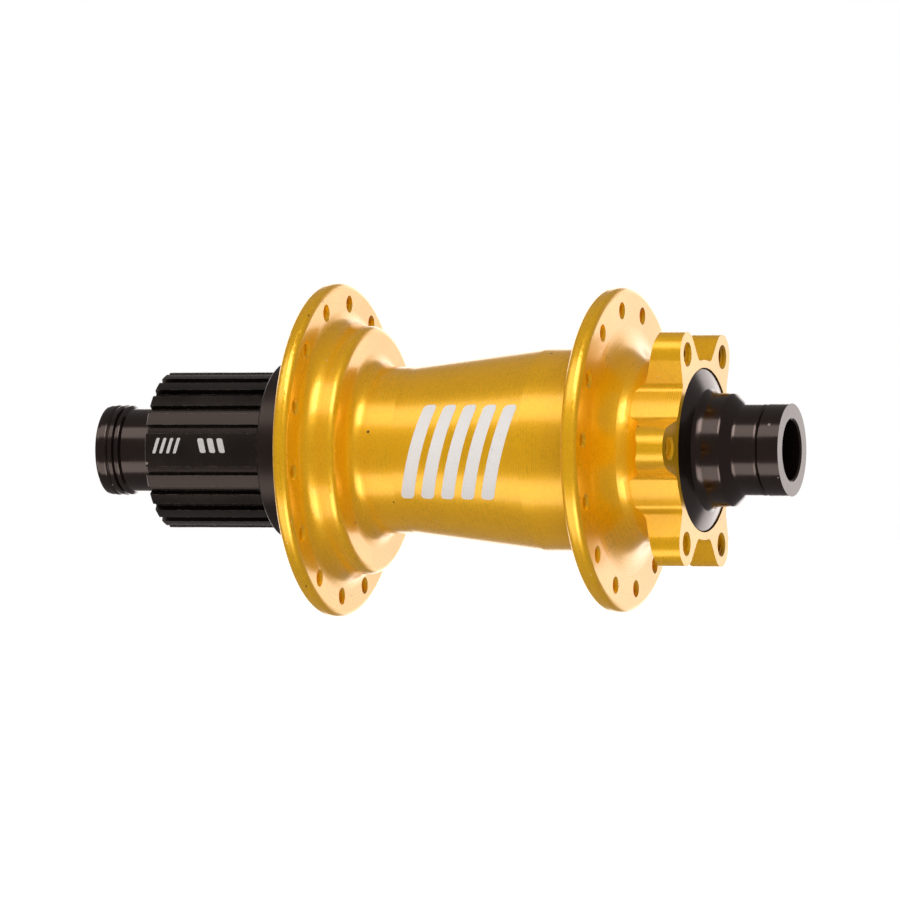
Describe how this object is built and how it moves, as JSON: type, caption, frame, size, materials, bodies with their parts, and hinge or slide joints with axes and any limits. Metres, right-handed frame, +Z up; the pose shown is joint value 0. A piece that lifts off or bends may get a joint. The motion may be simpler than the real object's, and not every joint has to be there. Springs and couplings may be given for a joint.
{
  "type": "bicycle rear hub",
  "caption": "Bicycle rear hub with two spoke flanges, a tapered waist, a lobed brake-rotor mount and a splined freehub with pawls.",
  "frame": {"origin": "middle of the axle, halfway between the two end faces", "axes": "+Y along the axle to the brake-rotor side, +Z up, +X forward, the way the wheel rolls"},
  "size_m": [0.0684, 0.148, 0.0684],
  "materials": {
    "shell_gold": "polished gold anodised aluminium",
    "cap_black": "satin black anodised aluminium",
    "freehub_black": "bead-blasted black anodised aluminium",
    "seal_black": "smooth black rubber",
    "axle_grey": "turned aluminium",
    "tool_steel": "machined and hardened steel",
    "spring_steel": "bright spring steel",
    "race_steel": "ground bearing steel",
    "ball_steel": "polished steel",
    "cage_nylon": "natural nylon",
    "seal_blue": "moulded dark rubber"
  },
  "bodies": {
    "axle_group": {"axle": "axle_grey", "end_cap_disc": "cap_black", "end_cap_drive": "cap_black", "o_ring_disc": "seal_black", "o_ring_drive": "seal_black", "freehub_spacer": "axle_grey", "inner_spacer": "axle_grey", "shell_bearing_drive_inner_race": "race_steel", "shell_bearing_disc_inner_race": "race_steel", "freehub_bearing_outer_inner_race": "race_steel", "freehub_bearing_inner_inner_race": "race_steel"},
    "shell_group": {"hub_shell": "shell_gold", "drive_ring": "tool_steel", "shell_bearing_drive_outer_race": "race_steel", "shell_bearing_drive_seals": "seal_blue", "shell_bearing_disc_outer_race": "race_steel", "shell_bearing_disc_seals": "seal_blue"},
    "freehub_group": {"freehub_body": "freehub_black", "seal_ring": "seal_black", "pawl_springs": "spring_steel", "freehub_bearing_outer_outer_race": "race_steel", "freehub_bearing_outer_seals": "seal_blue", "freehub_bearing_inner_outer_race": "race_steel", "freehub_bearing_inner_seals": "seal_blue"},
    "shell_bearing_drive_roll": {"shell_bearing_drive_balls": "ball_steel", "shell_bearing_drive_cage": "cage_nylon"},
    "shell_bearing_disc_roll": {"shell_bearing_disc_balls": "ball_steel", "shell_bearing_disc_cage": "cage_nylon"},
    "freehub_bearing_outer_roll": {"freehub_bearing_outer_balls": "ball_steel", "freehub_bearing_outer_cage": "cage_nylon"},
    "freehub_bearing_inner_roll": {"freehub_bearing_inner_balls": "ball_steel", "freehub_bearing_inner_cage": "cage_nylon"},
    "pawl_1_body": {"pawl_1": "tool_steel"},
    "pawl_2_body": {"pawl_2": "tool_steel"},
    "pawl_3_body": {"pawl_3": "tool_steel"},
    "pawl_4_body": {"pawl_4": "tool_steel"},
    "pawl_5_body": {"pawl_5": "tool_steel"},
    "pawl_6_body": {"pawl_6": "tool_steel"}
  },
  "joints": [
    {"name": "shell_spin", "type": "hinge", "parent": "axle_group", "child": "shell_group", "pos_m": [0, 0, 0], "axis": [0, 1, 0], "continuous": true},
    {"name": "freehub_spin", "type": "hinge", "parent": "axle_group", "child": "freehub_group", "pos_m": [0, -0.0402, 0], "axis": [0, 1, 0], "continuous": true},
    {"name": "shell_bearing_drive_turn", "type": "hinge", "parent": "axle_group", "child": "shell_bearing_drive_roll", "pos_m": [0, -0.012, 0], "axis": [0, 1, 0], "continuous": true},
    {"name": "shell_bearing_disc_turn", "type": "hinge", "parent": "axle_group", "child": "shell_bearing_disc_roll", "pos_m": [0, 0.0495, 0], "axis": [0, 1, 0], "continuous": true},
    {"name": "freehub_bearing_outer_turn", "type": "hinge", "parent": "axle_group", "child": "freehub_bearing_outer_roll", "pos_m": [0, -0.057, 0], "axis": [0, 1, 0], "continuous": true},
    {"name": "freehub_bearing_inner_turn", "type": "hinge", "parent": "axle_group", "child": "freehub_bearing_inner_roll", "pos_m": [0, -0.0225, 0], "axis": [0, 1, 0], "continuous": true},
    {"name": "pawl_1_rock", "type": "hinge", "parent": "freehub_group", "child": "pawl_1_body", "pos_m": [0, -0.0237, 0.0152], "axis": [0, -1, 0], "range_deg": [0, 6.5], "stiffness_Nm_per_rad": 0.0005, "springref_deg": 9},
    {"name": "pawl_2_rock", "type": "hinge", "parent": "freehub_group", "child": "pawl_2_body", "pos_m": [0.01316, -0.0237, 0.0076], "axis": [0, -1, 0], "range_deg": [0, 6.5], "stiffness_Nm_per_rad": 0.0005, "springref_deg": 9},
    {"name": "pawl_3_rock", "type": "hinge", "parent": "freehub_group", "child": "pawl_3_body", "pos_m": [0.01316, -0.0237, -0.0076], "axis": [0, -1, 0], "range_deg": [0, 6.5], "stiffness_Nm_per_rad": 0.0005, "springref_deg": 9},
    {"name": "pawl_4_rock", "type": "hinge", "parent": "freehub_group", "child": "pawl_4_body", "pos_m": [0, -0.0237, -0.0152], "axis": [0, -1, 0], "range_deg": [0, 6.5], "stiffness_Nm_per_rad": 0.0005, "springref_deg": 9},
    {"name": "pawl_5_rock", "type": "hinge", "parent": "freehub_group", "child": "pawl_5_body", "pos_m": [-0.01316, -0.0237, -0.0076], "axis": [0, -1, 0], "range_deg": [0, 6.5], "stiffness_Nm_per_rad": 0.0005, "springref_deg": 9},
    {"name": "pawl_6_rock", "type": "hinge", "parent": "freehub_group", "child": "pawl_6_body", "pos_m": [-0.01316, -0.0237, 0.0076], "axis": [0, -1, 0], "range_deg": [0, 6.5], "stiffness_Nm_per_rad": 0.0005, "springref_deg": 9}
  ],
  "couplings": [
    {"joint": "shell_bearing_drive_turn", "follows": "shell_spin", "ratio": 0.58511},
    {"joint": "shell_bearing_disc_turn", "follows": "shell_spin", "ratio": 0.58511},
    {"joint": "freehub_bearing_outer_turn", "follows": "freehub_spin", "ratio": 0.56512},
    {"joint": "freehub_bearing_inner_turn", "follows": "freehub_spin", "ratio": 0.56512},
    {"joint": "pawl_2_rock", "follows": "pawl_1_rock", "ratio": 1},
    {"joint": "pawl_3_rock", "follows": "pawl_1_rock", "ratio": 1},
    {"joint": "pawl_4_rock", "follows": "pawl_1_rock", "ratio": 1},
    {"joint": "pawl_5_rock", "follows": "pawl_1_rock", "ratio": 1},
    {"joint": "pawl_6_rock", "follows": "pawl_1_rock", "ratio": 1}
  ]
}
